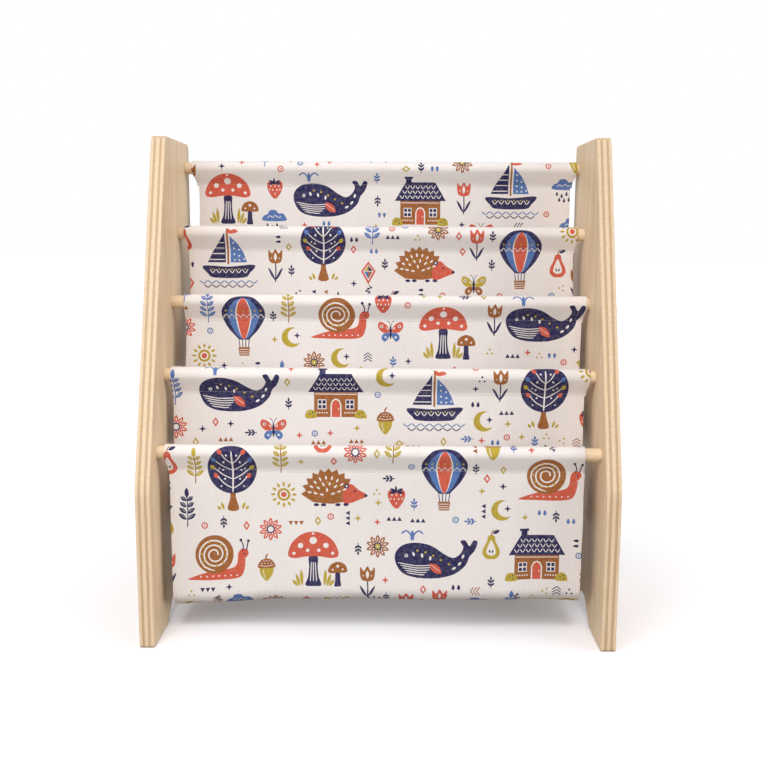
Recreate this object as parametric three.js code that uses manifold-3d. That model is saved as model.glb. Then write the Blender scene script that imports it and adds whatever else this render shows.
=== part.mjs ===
// Sling bookshelf for a child's room. Two plywood sides carry round rods, and one long canvas
// sling rides on the rods in sewn sleeves, so that it hangs between them as a row of stepped
// pockets. A stretcher ties the sides together low down at the back.
// Millimetres. X runs across, Y from front to back, Z up. The origin is on the floor, midway.
import * as THREE from 'three';
import Module from 'manifold-3d';
import { mergeVertices } from 'three/addons/utils/BufferGeometryUtils.js';

const wasm = await Module();
wasm.setup();

// Overall size, over both sides
const width = 570;
const depth = 278;
const height = 611;

// Shared fits: the gap between pieces that seat on each other, and what a cutter runs past a face
const seatGap = 0.3;
const cutOverrun = 3;

// Plywood sides
const panelThickness = 18;
const kneeHeight = 194; // the front edge is upright below the knee and leans back above it
const topSetback = 137; // of the top front corner, behind the front edge
const kneeRadius = 60;
const topCornerRadius = 9;
const cornerRadius = 4; // of the outer corners at the floor
const heelRadius = 9; // where each foot's inner end meets the floor
const arrisRadius = 1.5;
const footLength = 74; // of the foot at each end of the side
const archHeight = 28; // of the cut-out between the feet
const archRun = 38; // of each sloping end of the cut-out
const archRadius = 20;
const arcSteps = 3; // half of the facets round each corner
const arrisSteps = 2;

// Rods that carry the sling, from the top one at the back to the lowest one at the front
const rodCount = 5;
const rodDiameter = 16;
const rodEndChamfer = 0.8;
const rodSteps = 20;
const socketDepth = 9; // of the blind hole in the side that takes a rod's end
const topRodInset = 23; // of the top rod's axis, from the back edge
const topRodDrop = 33; // of the top rod's axis, below the top edge
const lowRodInset = 44.4; // of the lowest rod's axis, from the front edge
const lowRodHeight = 231; // of the lowest rod's axis, above the floor

// Stretcher, a plain rod of the same stock
const stretcherInset = 23; // from the back edge
const stretcherHeight = 96;

// Countersunk wood screws, one through the side into each rod's end
const screwLength = 42;
const screwDiameter = 5;
const screwHeadDiameter = 10;
const screwTipLength = 6;
const screwSink = 0.4; // of the head's face, below the side's outer face
const pilotRunOn = 3; // of the pilot bore, past the screw's tip
const recessSpan = 5.2; // of the cross recess in the head
const recessWidth = 1.1;
const recessDepth = 2.2;
const screwSteps = 12;

// Canvas sling: a sleeve round each rod, sewn shut under it, and a pocket between each two rods
const clothThickness = 1.2;
const sleeveMargin = 9; // from a side's inner face to the end of a sleeve midway between them
const pocketMargin = 14; // the same at a pocket's edge
const seamDrop = 24; // of the sleeve's lower edge, below the rod's axis
const seamAllowance = 3; // of the two layers sewn flat together
const sleeveSlip = 6; // how far a sleeve has crept along its rod, at most
const sleeveSlipShares = [0.6, -0.1, 1, 0, -0.7];
const pocketDrop = 180; // of a pocket's bottom, below its front rod's axis
const turnRadius = 19; // of a pocket's bottom
const foldTilt = 6; // how much deeper a pocket hangs at one end than in the middle
const foldTiltShares = [0.5, -0.6, 0.4, -1];
const slackWave = 1.6; // of the loose cloth, forwards and back
const waveCount = 2.5; // across the pocket
const waveRun = 90; // below the seam, where the waves reach their full height
const wallEaseShare = 0.5; // of the rear wall's height, where its curve at each end is pulled to
const columns = 12;
const frontRows = 4;
const turnRows = 9;
const rearRows = 7;
const sleeveArcSteps = 8;

const rodRadius = rodDiameter / 2;
const innerWidth = width - 2 * panelThickness;
const sleeveWidth = innerWidth - 2 * sleeveMargin;
const pocketWidth = innerWidth - 2 * pocketMargin;
const socketRadius = rodRadius + seatGap;
const screwHoleRadius = screwDiameter / 2 + seatGap;
const headAllowance = (screwHeadDiameter - screwDiameter) / 2;

const plywood = new THREE.MeshStandardMaterial({ color: '#dcc4a1', roughness: 0.55 });
const dowelWood = new THREE.MeshStandardMaterial({ color: '#e6cda9', roughness: 0.6 });
const canvas = new THREE.MeshStandardMaterial({ color: '#ece6e2', roughness: 0.92 });
const screwSteel = new THREE.MeshStandardMaterial({ color: '#b9babd', roughness: 0.35, metalness: 0.9 });

// A section is drawn with its own x running back and its own y running up, and is carried across
const acrossFromSection = new THREE.Matrix4().makeBasis(
  new THREE.Vector3(0, 1, 0),
  new THREE.Vector3(0, 0, 1),
  new THREE.Vector3(1, 0, 0),
);

function toSolid(geometry) {
  const bare = geometry.clone();
  bare.deleteAttribute('normal');
  bare.deleteAttribute('uv');
  const merged = mergeVertices(bare);
  return new wasm.Manifold(new wasm.Mesh({
    numProp: 3,
    vertProperties: merged.attributes.position.array,
    triVerts: new Uint32Array(merged.index.array),
  }));
}

function toGeometry(solid) {
  const mesh = solid.getMesh();
  const geometry = new THREE.BufferGeometry();
  geometry.setAttribute('position', new THREE.BufferAttribute(mesh.vertProperties, 3));
  geometry.setIndex(new THREE.BufferAttribute(mesh.triVerts, 1));
  geometry.computeVertexNormals();
  return geometry;
}

// A closed outline whose corners are rounded, each by its own radius
function roundedOutline(corners) {
  const outline = new THREE.Shape();
  corners.forEach((corner, index) => {
    const at = corner.at;
    const before = corners.at(index - 1).at.clone().sub(at).normalize();
    const after = corners[(index + 1) % corners.length].at.clone().sub(at).normalize();
    const halfAngle = before.angleTo(after) / 2;
    const inward = before.clone().add(after).normalize();
    const centre = at.clone().addScaledVector(inward, corner.radius / Math.sin(halfAngle));
    const reach = corner.radius / Math.tan(halfAngle);
    const start = at.clone().addScaledVector(before, reach).sub(centre).angle();
    const end = at.clone().addScaledVector(after, reach).sub(centre).angle();
    const clockwise = before.cross(after) > 0;
    outline.absarc(centre.x, centre.y, corner.radius, start, end, clockwise);
  });
  outline.closePath();
  return outline;
}

// A solid of revolution about the X axis, from [place along X, radius] pairs
function turned(profile, steps) {
  const points = profile.map(([along, radius]) => new THREE.Vector2(radius, along));
  const geometry = new THREE.LatheGeometry(points, steps);
  return geometry.rotateZ(-Math.PI / 2);
}

function rodPlace(index) {
  const share = index / (rodCount - 1);
  return new THREE.Vector2(
    THREE.MathUtils.lerp(depth / 2 - topRodInset, lowRodInset - depth / 2, share),
    THREE.MathUtils.lerp(height - topRodDrop, lowRodHeight, share),
  );
}

const rodPlaces = Array.from({ length: rodCount }, (_, index) => rodPlace(index));
const stretcherPlace = new THREE.Vector2(depth / 2 - stretcherInset, stretcherHeight);

function panelOutline() {
  const front = -depth / 2;
  const back = depth / 2;
  const ceiling = depth - 2 * (footLength + archRun);
  const roomRadius = (ceiling / 2 - arrisRadius) / Math.tan(Math.atan2(archHeight, archRun) / 2);
  const ceilingRadius = Math.min(archRadius, roomRadius);
  const corner = (y, z, radius) => ({ at: new THREE.Vector2(y, z), radius });
  return roundedOutline([
    corner(front, 0, cornerRadius),
    corner(front + footLength, 0, heelRadius),
    corner(front + footLength + archRun, archHeight, ceilingRadius),
    corner(back - footLength - archRun, archHeight, ceilingRadius),
    corner(back - footLength, 0, heelRadius),
    corner(back, 0, cornerRadius),
    corner(back, height, topCornerRadius),
    corner(front + topSetback, height, topCornerRadius),
    corner(front, kneeHeight, kneeRadius),
  ]);
}

// The hole for one rod's end: a blind socket inside, a screw hole and its countersink outside
function rodEndCutter() {
  const inner = -panelThickness / 2;
  const outer = panelThickness / 2;
  const sunk = outer - screwSink;
  const headRadius = screwHoleRadius + headAllowance;
  return turned([
    [inner - cutOverrun, 0],
    [inner - cutOverrun, socketRadius],
    [inner + socketDepth, socketRadius],
    [inner + socketDepth, screwHoleRadius],
    [sunk - headAllowance, screwHoleRadius],
    [sunk, headRadius],
    [outer + cutOverrun, headRadius],
    [outer + cutOverrun, 0],
  ], rodSteps);
}

// The right-hand side, about its own middle; the left-hand one has its holes the other way round
function panelGeometry(side) {
  const blank = new THREE.ExtrudeGeometry(panelOutline(), {
    depth: panelThickness - 2 * arrisRadius,
    bevelEnabled: true,
    bevelThickness: arrisRadius,
    bevelSize: arrisRadius,
    bevelOffset: -arrisRadius,
    bevelSegments: arrisSteps,
    curveSegments: arcSteps,
  });
  blank.translate(0, 0, arrisRadius - panelThickness / 2);
  blank.applyMatrix4(acrossFromSection);
  let panel = toSolid(blank);
  for (const place of [...rodPlaces, stretcherPlace]) {
    const cutter = rodEndCutter();
    if (side < 0) {
      cutter.rotateZ(Math.PI);
    }
    cutter.translate(0, place.x, place.y);
    panel = panel.subtract(toSolid(cutter));
  }
  return toGeometry(panel);
}

// A rod with chamfered ends and a pilot bore for the screw in each
function rodGeometry() {
  const half = innerWidth / 2 + socketDepth - seatGap;
  const screwReach = width / 2 - screwSink - screwLength;
  const boreEnd = screwReach - pilotRunOn;
  const rightEnd = [
    [boreEnd, 0],
    [boreEnd, screwHoleRadius],
    [half, screwHoleRadius],
    [half, rodRadius - rodEndChamfer],
    [half - rodEndChamfer, rodRadius],
  ];
  const leftEnd = rightEnd.map(([along, radius]) => [-along, radius]);
  return turned([...leftEnd, ...rightEnd.reverse()], rodSteps);
}

// A countersunk screw with a cross recess, its head's face at x = 0 and its tip towards -x
function screwGeometry() {
  const shankRadius = screwDiameter / 2;
  const body = toSolid(turned([
    [-screwLength, 0],
    [screwTipLength - screwLength, shankRadius],
    [-headAllowance, shankRadius],
    [0, screwHeadDiameter / 2],
    [0, 0],
  ], screwSteps));
  const slotLength = recessDepth + cutOverrun;
  const slotMiddle = (cutOverrun - recessDepth) / 2;
  const flatSlot = new THREE.BoxGeometry(slotLength, recessSpan, recessWidth).translate(slotMiddle, 0, 0);
  const uprightSlot = new THREE.BoxGeometry(slotLength, recessWidth, recessSpan).translate(slotMiddle, 0, 0);
  return toGeometry(body.subtract(toSolid(flatSlot)).subtract(toSolid(uprightSlot)));
}

// Where the straight run from a point below the rod touches a circle round the rod
function touchAngle(radius, point) {
  return point.angle() - 2 * Math.PI + Math.acos(radius / point.length());
}

// A sleeve is a drop-shaped tube: over the rod, then drawn together to the seam under it
function sleeveGeometry() {
  const join = seamAllowance - seamDrop;
  const outerJoin = new THREE.Vector2(clothThickness, join);
  const innerJoin = new THREE.Vector2(seatGap / 2, join);
  const innerRadius = rodRadius + seatGap;
  const outerRadius = innerRadius + clothThickness;
  const outerTouch = touchAngle(outerRadius, outerJoin);
  const innerTouch = touchAngle(innerRadius, innerJoin);
  const outline = new THREE.Shape();
  outline.moveTo(-clothThickness, -seamDrop);
  outline.lineTo(clothThickness, -seamDrop);
  outline.lineTo(outerJoin.x, outerJoin.y);
  outline.absarc(0, 0, outerRadius, outerTouch, Math.PI - outerTouch, false);
  outline.lineTo(-outerJoin.x, outerJoin.y);
  outline.closePath();
  const bore = new THREE.Path();
  bore.absarc(0, 0, innerRadius, innerTouch, Math.PI - innerTouch, false);
  bore.lineTo(-innerJoin.x, innerJoin.y);
  bore.lineTo(innerJoin.x, innerJoin.y);
  bore.closePath();
  outline.holes.push(bore);
  const geometry = new THREE.ExtrudeGeometry(outline, {
    depth: sleeveWidth,
    bevelEnabled: false,
    curveSegments: sleeveArcSteps,
  });
  geometry.translate(0, 0, -sleeveWidth / 2);
  return geometry.applyMatrix4(acrossFromSection);
}

// The middle line of a pocket's cloth: down from the front seam, round the bottom, up to the rear
function pocketLine(frontTop, rearTop, bottom) {
  const turnMiddle = new THREE.Vector2(frontTop.x + turnRadius, bottom + turnRadius);
  const frontFoot = new THREE.Vector2(frontTop.x, turnMiddle.y);
  const rearFoot = new THREE.Vector2(turnMiddle.x + turnRadius, turnMiddle.y);
  const ease = new THREE.Vector2(0, wallEaseShare * (rearTop.y - rearFoot.y));
  const front = new THREE.LineCurve(frontTop, frontFoot);
  const turn = new THREE.EllipseCurve(
    turnMiddle.x, turnMiddle.y, turnRadius, turnRadius, Math.PI, 2 * Math.PI, false,
  );
  const rear = new THREE.CubicBezierCurve(
    rearFoot, rearFoot.clone().add(ease), rearTop.clone().sub(ease), rearTop,
  );
  return [
    ...front.getPoints(frontRows),
    ...turn.getPoints(turnRows).slice(1),
    ...rear.getPoints(rearRows).slice(1),
  ];
}

// How far the loose cloth stands forward or back, the same for every layer on one seam
function slackAt(across, belowSeam) {
  const ramp = THREE.MathUtils.smoothstep(belowSeam, 0, waveRun);
  return slackWave * ramp * Math.sin(2 * Math.PI * waveCount * across);
}

// Each point of a pocket's cloth as a pair, one on its outer face and one on its inner face
function pocketRow(index, across) {
  const frontRod = rodPlaces[index + 1];
  const rearRod = rodPlaces[index];
  const layer = (clothThickness + seatGap) / 2;
  const seam = seamDrop + seatGap;
  const frontTop = new THREE.Vector2(frontRod.x + layer, frontRod.y - seam);
  const rearTop = new THREE.Vector2(rearRod.x - layer, rearRod.y - seam);
  const tilt = foldTilt * foldTiltShares[index % foldTiltShares.length];
  const bottom = frontRod.y - pocketDrop + tilt * (1 - 2 * across);
  const line = pocketLine(frontTop, rearTop, bottom);
  const frontSlip = sleeveSlip * sleeveSlipShares[(index + 1) % sleeveSlipShares.length];
  const rearSlip = sleeveSlip * sleeveSlipShares[index % sleeveSlipShares.length];
  return line.map((point, row) => {
    const along = line[Math.min(row + 1, line.length - 1)].clone().sub(line[Math.max(row - 1, 0)]);
    const outward = new THREE.Vector2(along.y, -along.x).setLength(clothThickness / 2);
    const share = row / (line.length - 1);
    const seamHeight = row < frontRows + turnRows / 2 ? frontTop.y : rearTop.y;
    const slack = slackAt(across, seamHeight - point.y);
    const x = pocketWidth * (across - 0.5) + THREE.MathUtils.lerp(frontSlip, rearSlip, share);
    return [outward, outward.clone().negate()].map((offset) => (
      new THREE.Vector3(x, point.x + slack + offset.x, point.y + offset.y)
    ));
  });
}

// A closed skin round the grid of point pairs: two faces, and a narrow edge all the way round
function pocketGeometry(index) {
  const grid = Array.from({ length: columns + 1 }, (_, column) => pocketRow(index, column / columns));
  const rows = grid[0].length;
  const vertices = [];
  grid.flat(2).forEach((point) => vertices.push(...point.toArray()));
  const outer = (column, row) => 2 * (column * rows + row);
  const inner = (column, row) => outer(column, row) + 1;
  const indices = [];
  const quad = (a, b, c, d) => indices.push(a, b, c, a, c, d);
  for (let column = 0; column < columns; column += 1) {
    for (let row = 0; row < rows - 1; row += 1) {
      quad(outer(column, row), outer(column, row + 1), outer(column + 1, row + 1), outer(column + 1, row));
      quad(inner(column, row), inner(column + 1, row), inner(column + 1, row + 1), inner(column, row + 1));
    }
    const last = rows - 1;
    quad(outer(column, 0), outer(column + 1, 0), inner(column + 1, 0), inner(column, 0));
    quad(outer(column, last), inner(column, last), inner(column + 1, last), outer(column + 1, last));
  }
  for (let row = 0; row < rows - 1; row += 1) {
    quad(outer(0, row), inner(0, row), inner(0, row + 1), outer(0, row + 1));
    quad(outer(columns, row), outer(columns, row + 1), inner(columns, row + 1), inner(columns, row));
  }
  const geometry = new THREE.BufferGeometry();
  geometry.setAttribute('position', new THREE.Float32BufferAttribute(vertices, 3));
  geometry.setIndex(indices);
  geometry.computeVertexNormals();
  return geometry;
}

const shelf = new THREE.Group();

function addPiece(name, geometry, material, place = new THREE.Vector3(), turn = 0) {
  const piece = new THREE.Mesh(geometry, material);
  piece.name = name;
  piece.position.copy(place);
  piece.rotation.z = turn;
  shelf.add(piece);
  return piece;
}

// A rod across the sides, and the screw that holds each of its ends
function addRod(name, place) {
  addPiece(name, rodGeometry(), dowelWood, new THREE.Vector3(0, place.x, place.y));
  for (const [hand, side] of [['left', -1], ['right', 1]]) {
    const head = new THREE.Vector3(side * (width / 2 - screwSink), place.x, place.y);
    addPiece(`screw_${name}_${hand}`, screwGeometry(), screwSteel, head, side < 0 ? Math.PI : 0);
  }
}

for (const [hand, side] of [['left', -1], ['right', 1]]) {
  const middle = new THREE.Vector3(side * (width - panelThickness) / 2, 0, 0);
  addPiece(`${hand}_panel`, panelGeometry(side), plywood, middle);
}
rodPlaces.forEach((place, index) => addRod(`rod_${index + 1}`, place));
addRod('rear_stretcher', stretcherPlace);
rodPlaces.forEach((place, index) => {
  const slip = sleeveSlip * sleeveSlipShares[index % sleeveSlipShares.length];
  addPiece(`sleeve_${index + 1}`, sleeveGeometry(), canvas, new THREE.Vector3(slip, place.x, place.y));
});
for (let index = 0; index < rodCount - 1; index += 1) {
  addPiece(`pocket_${index + 1}`, pocketGeometry(index), canvas);
}

export default shelf;
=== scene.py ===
# %% [markdown]
# A sling bookshelf for a child's room: two plywood sides, five dowels across them, and one printed
# canvas sling that hangs from the dowels as four stepped pockets. The CAD model gives every size
# and place, in metres, with +Z up and the front of the shelf towards -Y. This script keeps the rigid
# pieces where they are, gives them their wood and steel, and makes the cloth anew, because a CAD
# solid of cloth has the right form but none of its print, hems, stitches or small wrinkles.

# %% Load the frame
import math
import random

import bmesh
import bpy
from mathutils import Matrix, Vector, noise
from mathutils.geometry import delaunay_2d_cdt


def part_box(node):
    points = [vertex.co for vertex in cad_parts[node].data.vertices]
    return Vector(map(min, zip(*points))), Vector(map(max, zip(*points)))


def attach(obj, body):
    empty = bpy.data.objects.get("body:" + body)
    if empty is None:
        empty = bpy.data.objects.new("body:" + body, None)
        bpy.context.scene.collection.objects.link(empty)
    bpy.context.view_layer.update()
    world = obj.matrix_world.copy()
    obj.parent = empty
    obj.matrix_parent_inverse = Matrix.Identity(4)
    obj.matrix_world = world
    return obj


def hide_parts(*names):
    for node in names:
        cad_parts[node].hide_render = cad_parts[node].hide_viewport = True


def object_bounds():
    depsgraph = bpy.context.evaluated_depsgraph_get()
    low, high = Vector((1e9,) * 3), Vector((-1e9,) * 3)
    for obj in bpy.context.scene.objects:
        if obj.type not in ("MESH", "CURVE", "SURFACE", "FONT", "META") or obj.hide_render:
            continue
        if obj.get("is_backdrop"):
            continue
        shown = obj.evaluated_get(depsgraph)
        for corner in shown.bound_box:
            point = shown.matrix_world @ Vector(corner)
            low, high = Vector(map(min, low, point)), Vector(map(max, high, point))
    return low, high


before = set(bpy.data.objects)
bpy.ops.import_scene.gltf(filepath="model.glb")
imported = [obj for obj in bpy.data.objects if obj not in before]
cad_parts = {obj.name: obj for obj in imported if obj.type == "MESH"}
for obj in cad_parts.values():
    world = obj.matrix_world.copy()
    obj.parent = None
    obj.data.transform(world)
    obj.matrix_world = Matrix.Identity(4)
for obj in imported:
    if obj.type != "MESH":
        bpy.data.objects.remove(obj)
cad_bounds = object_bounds()
BODY = "root"
MM = 0.001
print("CAD box", [round(high - low, 4) for low, high in zip(*cad_bounds)], "m")


# %% [markdown]
# The camera comes first. The photograph was taken from half a metre up, a little below the top of
# the shelf, about 1.1 m in front of it and looking down by nine degrees. A square picture that is 768
# pixels wide with a focal length of 1000 pixels has a lens of 47 mm on Blender's 36 mm sensor.

# %% Camera
CAMERA_PLACE = Vector((0.0157, -1.2713, 0.5013))
LOOK_DOWN = math.radians(8.96)
TURN_LEFT = math.radians(0.466)
ROLL = math.radians(-0.291)
PICTURE_PIXELS = 768
FOCAL_PIXELS = 1000
SENSOR_WIDTH = 36


def add_camera():
    data = bpy.data.cameras.new("camera")
    data.sensor_width = SENSOR_WIDTH
    data.lens = SENSOR_WIDTH * FOCAL_PIXELS / PICTURE_PIXELS
    camera = bpy.data.objects.new("camera", data)
    level = Matrix.Rotation(math.radians(90), 4, "X")
    tilt = Matrix.Rotation(TURN_LEFT, 4, "Z") @ Matrix.Rotation(-LOOK_DOWN, 4, "X")
    camera.matrix_world = Matrix.Translation(CAMERA_PLACE) @ tilt @ Matrix.Rotation(ROLL, 4, "Y") @ level
    bpy.context.scene.collection.objects.link(camera)
    bpy.context.scene.camera = camera
    print("camera lens", round(data.lens, 2), "mm")


add_camera()


# %% [markdown]
# Materials are node trees. Small helpers keep them readable: one starts a material, one adds a node,
# one joins a socket or sets its number, and others stand for the nodes that are used most. The last
# makes a whole material of one fine grain, for the thread, the dowels and the screws.

# %% Helpers for materials
def colour(red, green, blue):
    """A colour as it is read off a picture, from 10 to 255, turned into the linear values of a shader."""
    return (*[((share / 255 + 0.055) / 1.055) ** 2.4 for share in (red, green, blue)], 1)


WHITE = colour(255, 255, 255)


def start_material(name, roughness, **sockets):
    material = bpy.data.materials.new(name)
    material.use_nodes = True
    tree = material.node_tree
    shader = tree.nodes["Principled BSDF"]
    shader.inputs["Roughness"].default_value = roughness
    for socket, value in sockets.items():
        shader.inputs[socket.replace("_", " ")].default_value = value
    return material, tree, shader


def plug(tree, source, target):
    if isinstance(source, bpy.types.NodeSocket):
        tree.links.new(source, target)
    else:
        target.default_value = source


def add_node(tree, kind, sockets=None, **settings):
    made = tree.nodes.new("ShaderNode" + kind)
    for name, value in settings.items():
        setattr(made, name, value)
    for name, source in (sockets or {}).items():
        plug(tree, source, made.inputs[name])
    return made


def figure(tree, operation, first, second=0.0, third=0.0):
    made = add_node(tree, "Math", operation=operation)
    for slot, source in enumerate((first, second, third)):
        plug(tree, source, made.inputs[slot])
    return made.outputs[0]


def cloudiness(tree, place, *stretch, detail=2, distortion=0):
    """Soft noise from 0 to 1, which gets finer along x, y and z the more each is stretched."""
    vector = add_node(tree, "VectorMath", {0: place, 1: stretch}, operation="MULTIPLY").outputs[0]
    sockets = {"Vector": vector, "Scale": 1, "Detail": detail, "Distortion": distortion}
    return add_node(tree, "TexNoise", sockets).outputs[0]


def blend(tree, share, first, second, kind="MIX"):
    made = add_node(tree, "Mix", data_type="RGBA", blend_type=kind)
    for slot, source in ((0, share), (6, first), (7, second)):
        plug(tree, source, made.inputs[slot])
    return made.outputs[2]


def ramp(tree, share, stops, interpolation="LINEAR"):
    made = add_node(tree, "ValToRGB", {0: share})
    made.color_ramp.interpolation = interpolation
    while len(made.color_ramp.elements) < len(stops):
        made.color_ramp.elements.new(0.5)
    for element, (place, tone) in zip(made.color_ramp.elements, stops):
        element.position = place
        element.color = tone
    return made.outputs[0]


def shaded(tree, tone, share, dark, light_from):
    """The tone, multiplied by a ramp from the stop dark up to white."""
    return blend(tree, 1.0, tone, ramp(tree, share, [dark, (light_from, WHITE)]), "MULTIPLY")


def own_place(tree):
    return add_node(tree, "TexCoord").outputs["Object"]


def paint(tree, shader, tone):
    tree.links.new(tone, shader.inputs["Base Color"])


def emboss(tree, shader, height, depth, strength):
    sockets = {"Height": height, "Distance": depth, "Strength": strength}
    tree.links.new(add_node(tree, "Bump", sockets).outputs[0], shader.inputs["Normal"])


def make_grained(name, roughness, stretch, dark, light, depth, strength, detail=2, distortion=0, **sockets):
    """A surface with one fine grain, dark in its hollows and light on its ridges."""
    material, tree, shader = start_material(name, roughness, **sockets)
    grain = cloudiness(tree, own_place(tree), *stretch, detail=detail, distortion=distortion)
    paint(tree, shader, ramp(tree, grain, [(0.3, dark), (0.7, light)]))
    emboss(tree, shader, grain, depth, strength)
    return material


# %% [markdown]
# The sling is a plain-woven cotton canvas, undyed, with a screen print in five inks. The weave, the
# thick and thin yarns and the unevenness of the ink all follow the cloth, so they read the UV map
# that each piece of cloth carries, in metres along its width and its length. Which ink lies where is
# stored on the faces as the attribute "ink", so that the edges of the print are as sharp as cut
# stencils at any distance.

# %% Printed canvas
BARE, NAVY, RUST, CORAL, MUSTARD, BLUE = range(6)
INK_TONES = [
    colour(241, 234, 231),
    colour(34, 32, 82),
    colour(160, 95, 38),
    colour(212, 90, 66),
    colour(190, 166, 50),
    colour(82, 118, 180),
]
YARN_PITCH = 0.55 * MM
WAVE_TEXTURE_PERIOD = 2 * math.pi / 20  # the length of one band of the Wave texture at scale 1


def yarns(tree, cloth, direction):
    sockets = {"Vector": cloth, "Scale": WAVE_TEXTURE_PERIOD / (2 * YARN_PITCH)}
    return add_node(tree, "TexWave", sockets, bands_direction=direction).outputs["Fac"]


def weave_height(tree, cloth):
    across = yarns(tree, cloth, "X")
    along = yarns(tree, cloth, "Y")
    over = figure(tree, "MULTIPLY", across, along)
    beside, between_rows = (figure(tree, "SUBTRACT", 1.0, yarn) for yarn in (across, along))
    return figure(tree, "ADD", over, figure(tree, "MULTIPLY", beside, between_rows))


def slubs(tree, cloth):
    """Thick and thin stretches of yarn, both ways, from 0 to 1."""
    warp = cloudiness(tree, cloth, 900, 30, 1)
    weft = cloudiness(tree, cloth, 30, 900, 1)
    return figure(tree, "MULTIPLY_ADD", warp, 0.5, figure(tree, "MULTIPLY", weft, 0.5))


def make_canvas():
    sheen = {"Sheen_Weight": 0.04, "Sheen_Roughness": 0.6, "Specular_IOR_Level": 0.08}
    material, tree, shader = start_material("printed_canvas", 0.95, **sheen)
    cloth = add_node(tree, "UVMap", uv_map="cloth").outputs[0]
    ink = add_node(tree, "Attribute", attribute_name="ink").outputs["Fac"]
    stops = [(index / len(INK_TONES), tone) for index, tone in enumerate(INK_TONES)]
    printed = ramp(tree, ink, stops, "CONSTANT")
    weave = weave_height(tree, cloth)
    yarn = slubs(tree, cloth)
    patches = cloudiness(tree, cloth, 210, 210, 1)
    uneven = ramp(tree, patches, [(0.4, (0, 0, 0, 1)), (0.75, WHITE)])
    worn = figure(tree, "MULTIPLY_ADD", weave, 0.03, figure(tree, "MULTIPLY", uneven, 0.07))
    printed = blend(tree, worn, printed, INK_TONES[BARE])
    printed = shaded(tree, printed, yarn, (0.3, colour(248, 247, 246)), 0.6)
    # The cloth is darker in the hollows between the yarns of its weave: this is painted shade.
    paint(tree, shader, shaded(tree, printed, weave, (0.0, colour(243, 241, 239)), 0.6))
    emboss(tree, shader, figure(tree, "MULTIPLY_ADD", yarn, 0.5, weave), 0.1 * MM, 0.35)
    return material


canvas = make_canvas()
thread = make_grained(
    "sewing_thread", roughness=0.7, stretch=(900, 900, 900), dark=colour(222, 213, 206),
    light=colour(240, 233, 227), depth=0.1 * MM, strength=0.4, Sheen_Weight=0.1, Specular_IOR_Level=0.3,
)
print("inks", len(INK_TONES) - 1)


# %% [markdown]
# The sides are cut from 18 mm plywood, so every edge shows its plies: the plies whose grain runs
# along the edge look light and the ones cut across look darker. One solid pattern on the Object
# coordinates does this without any seams, because the plies lie at fixed distances from the middle
# of the shelf. On the top and bottom edges light and dark change places, as the grain does there.

# %% Plywood, dowels and steel
side_low, side_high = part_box("right_panel")
PLY_TURNS = [0.21, 0.39, 0.62, 0.80]  # where the glue lines lie, as shares of the thickness
PLY_LINE = 0.012  # half of a glue line's change of tone, as a share of the thickness
PLY_WANDER = 0.015  # how far a glue line strays, as a share of the thickness
LONG_GRAIN = colour(234, 208, 176)
END_GRAIN = colour(200, 171, 137)
FACE_LIGHT = colour(241, 216, 181)
FACE_DARK = colour(226, 198, 161)


def ply_share(tree, place):
    """From 0 at the inner face of either side to 1 at its outer face, with glue lines a little wavy."""
    across = add_node(tree, "SeparateXYZ", {0: place}).outputs["X"]
    wander = cloudiness(tree, place, 24, 24, 24)
    reach = figure(tree, "SUBTRACT", figure(tree, "ABSOLUTE", across), side_low.x)
    share = figure(tree, "DIVIDE", reach, side_high.x - side_low.x)
    return figure(tree, "ADD", share, figure(tree, "MULTIPLY_ADD", wander, 2 * PLY_WANDER, -PLY_WANDER))


def ply_stops(first, second):
    stops = [(0, first)]
    for index, place in enumerate(PLY_TURNS):
        before, after = (first, second) if index % 2 == 0 else (second, first)
        stops += [(place - PLY_LINE, before), (place + PLY_LINE, after)]
    return stops


def make_plywood():
    material, tree, shader = start_material("birch_plywood", 0.5, Specular_IOR_Level=0.35)
    place = own_place(tree)
    facing = add_node(tree, "SeparateXYZ", {0: add_node(tree, "NewGeometry").outputs["Normal"]})
    share = ply_share(tree, place)
    upright = ramp(tree, share, ply_stops(LONG_GRAIN, END_GRAIN))
    level = ramp(tree, share, ply_stops(END_GRAIN, LONG_GRAIN))
    topness = figure(tree, "POWER", figure(tree, "ABSOLUTE", facing.outputs["Z"]), 4)
    edge = blend(tree, topness, upright, level)
    fibres = cloudiness(tree, place, 900, 900, 30, detail=3)
    edge = shaded(tree, edge, fibres, (0.3, colour(240, 234, 226)), 0.65)
    drift = cloudiness(tree, place, 30, 11, 1.7, detail=3, distortion=0.4)
    rings = figure(tree, "SINE", figure(tree, "MULTIPLY", drift, 44))
    streaks = cloudiness(tree, place, 60, 190, 5, detail=3)
    growth = figure(tree, "MULTIPLY_ADD", rings, 0.13, streaks)
    face = ramp(tree, growth, [(0.3, FACE_DARK), (0.66, FACE_LIGHT)])
    pores = cloudiness(tree, place, 300, 1500, 46)
    face = shaded(tree, face, pores, (0.3, colour(240, 232, 222)), 0.5)
    sideness = figure(tree, "GREATER_THAN", figure(tree, "ABSOLUTE", facing.outputs["X"]), 0.8)
    paint(tree, shader, blend(tree, sideness, edge, face))
    emboss(tree, shader, figure(tree, "MULTIPLY_ADD", fibres, 0.5, pores), 0.12 * MM, 0.25)
    return material


plywood = make_plywood()
dowel_wood = make_grained(
    "birch_dowel", roughness=0.5, stretch=(16, 420, 420), dark=colour(238, 212, 176),
    light=colour(250, 229, 198), depth=0.1 * MM, strength=0.25, detail=4, distortion=0.3,
    Specular_IOR_Level=0.35,
)
steel = make_grained(
    "zinc_steel", roughness=0.32, stretch=(300, 2600, 2600), dark=colour(188, 189, 193),
    light=colour(214, 215, 218), depth=0.04 * MM, strength=0.3, Metallic=1.0,
)


# %% Finishes of the sides and screws
def give_finish(piece, material):
    piece.data.materials.clear()
    piece.data.materials.append(material)


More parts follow.
